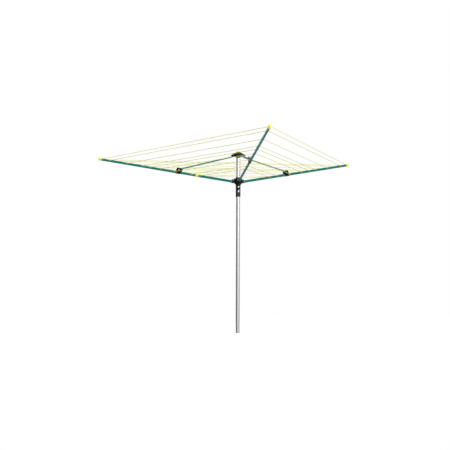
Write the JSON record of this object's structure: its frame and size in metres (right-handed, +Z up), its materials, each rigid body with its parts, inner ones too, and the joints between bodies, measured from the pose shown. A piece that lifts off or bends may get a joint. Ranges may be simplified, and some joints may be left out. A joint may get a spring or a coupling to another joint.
{
  "type": "rotary clothesline",
  "caption": "Free-standing pole with three folding arms in an inverted pyramid, braced by struts, carrying concentric triangles of taut drying line; head turns and folds.",
  "frame": {"origin": "centre of the pole's lower end", "axes": "+Z up along the pole; arm 1 points along -Y, arms 2 and 3 stand 120 degrees to each side"},
  "size_m": [2.4338, 2.1092, 1.6034],
  "materials": {
    "galvanised_pole": "satin",
    "black_plastic": "satin",
    "zinc_steel": "satin",
    "spring_steel": "polished",
    "grey_plastic": "satin",
    "bush_plastic": "satin",
    "teal_paint": "gloss",
    "yellow_plastic": "gloss",
    "eyelet_plastic": "satin",
    "yellow_line": "satin"
  },
  "bodies": {
    "pole": {"pole": "galvanised_pole", "pole_foot_plug": "black_plastic", "pole_top_plug": "black_plastic", "head_spindle": "zinc_steel", "thrust_washer": "zinc_steel", "spindle_washer": "zinc_steel", "spindle_nut": "zinc_steel"},
    "head": {"top_carrier": "black_plastic", "top_cap": "black_plastic", "cap_screws": "zinc_steel", "carrier_pins": "zinc_steel"},
    "strut_1": {"strut_1": "teal_paint"},
    "strut_2": {"strut_2": "teal_paint"},
    "strut_3": {"strut_3": "teal_paint"},
    "arm_1": {"arm_tube_1": "teal_paint", "arm_root_1": "black_plastic", "arm_root_rivet_1": "zinc_steel", "strut_bracket_1": "black_plastic", "bracket_pin_1": "zinc_steel", "bracket_screw_1": "zinc_steel", "line_eyelets_1": "eyelet_plastic", "arm_end_cap_1": "yellow_plastic", "lines_1": "yellow_line"},
    "arm_2": {"arm_tube_2": "teal_paint", "arm_root_2": "black_plastic", "arm_root_rivet_2": "zinc_steel", "strut_bracket_2": "black_plastic", "bracket_pin_2": "zinc_steel", "bracket_screw_2": "zinc_steel", "line_eyelets_2": "eyelet_plastic", "arm_end_cap_2": "yellow_plastic", "lines_2": "yellow_line"},
    "arm_3": {"arm_tube_3": "teal_paint", "arm_root_3": "black_plastic", "arm_root_rivet_3": "zinc_steel", "strut_bracket_3": "black_plastic", "bracket_pin_3": "zinc_steel", "bracket_screw_3": "zinc_steel", "line_eyelets_3": "eyelet_plastic", "arm_end_cap_3": "yellow_plastic", "lines_3": "yellow_line", "line_clip": "yellow_plastic"},
    "hub": {"hub": "black_plastic", "hub_pins": "zinc_steel"},
    "runner": {"runner_sleeve": "black_plastic", "runner_bush_upper": "bush_plastic", "runner_bush_lower": "bush_plastic", "hub_retainer": "black_plastic", "lock_lever_pin": "zinc_steel", "lock_spring": "spring_steel"},
    "lock_lever": {"lock_lever": "grey_plastic"}
  },
  "joints": [
    {"name": "head_spin", "type": "hinge", "parent": "pole", "child": "head", "pos_m": [0, 0, 1.5443], "axis": [0, 0, 1], "continuous": true},
    {"name": "fold", "type": "hinge", "parent": "head", "child": "strut_1", "pos_m": [0, -0.04, 1.564], "axis": [1, 0, 0], "range_deg": [0, 76.5]},
    {"name": "strut_2_fold", "type": "hinge", "parent": "head", "child": "strut_2", "pos_m": [0.03464, 0.02, 1.564], "axis": [-0.5, 0.866, 0], "range_deg": [0, 77]},
    {"name": "strut_3_fold", "type": "hinge", "parent": "head", "child": "strut_3", "pos_m": [-0.03464, 0.02, 1.564], "axis": [-0.5, -0.866, 0], "range_deg": [0, 77]},
    {"name": "arm_1_fold", "type": "hinge", "parent": "strut_1", "child": "arm_1", "pos_m": [0, -0.568, 1.455], "axis": [-1, 0, 0], "range_deg": [0, 154], "deforming": ["lines_1"]},
    {"name": "arm_2_fold", "type": "hinge", "parent": "strut_2", "child": "arm_2", "pos_m": [0.4919, 0.284, 1.455], "axis": [0.5, -0.866, 0], "range_deg": [0, 154], "deforming": ["lines_2"]},
    {"name": "arm_3_fold", "type": "hinge", "parent": "strut_3", "child": "arm_3", "pos_m": [-0.4919, 0.284, 1.455], "axis": [0.5, 0.866, 0], "range_deg": [0, 154], "deforming": ["lines_3"]},
    {"name": "hub_fold", "type": "hinge", "parent": "arm_1", "child": "hub", "pos_m": [0, -0.04, 1.346], "axis": [1, 0, 0], "range_deg": [0, 77]},
    {"name": "runner_spin", "type": "hinge", "parent": "hub", "child": "runner", "pos_m": [0, 0, 1.308], "axis": [0, 0, 1], "continuous": true},
    {"name": "lock_press", "type": "hinge", "parent": "runner", "child": "lock_lever", "pos_m": [0, -0.0212, 1.22], "axis": [1, 0, 0], "range_deg": [0, 9], "stiffness_Nm_per_rad": 0.5, "springref_deg": -5.73, "deforming": ["lock_spring"]}
  ],
  "couplings": [
    {"joint": "strut_2_fold", "follows": "fold", "ratio": 1},
    {"joint": "strut_3_fold", "follows": "fold", "ratio": 1},
    {"joint": "arm_1_fold", "follows": "fold", "ratio": 2},
    {"joint": "arm_2_fold", "follows": "fold", "ratio": 2},
    {"joint": "arm_3_fold", "follows": "fold", "ratio": 2},
    {"joint": "hub_fold", "follows": "fold", "ratio": 1},
    {"joint": "runner_spin", "follows": "head_spin", "ratio": -1}
  ]
}
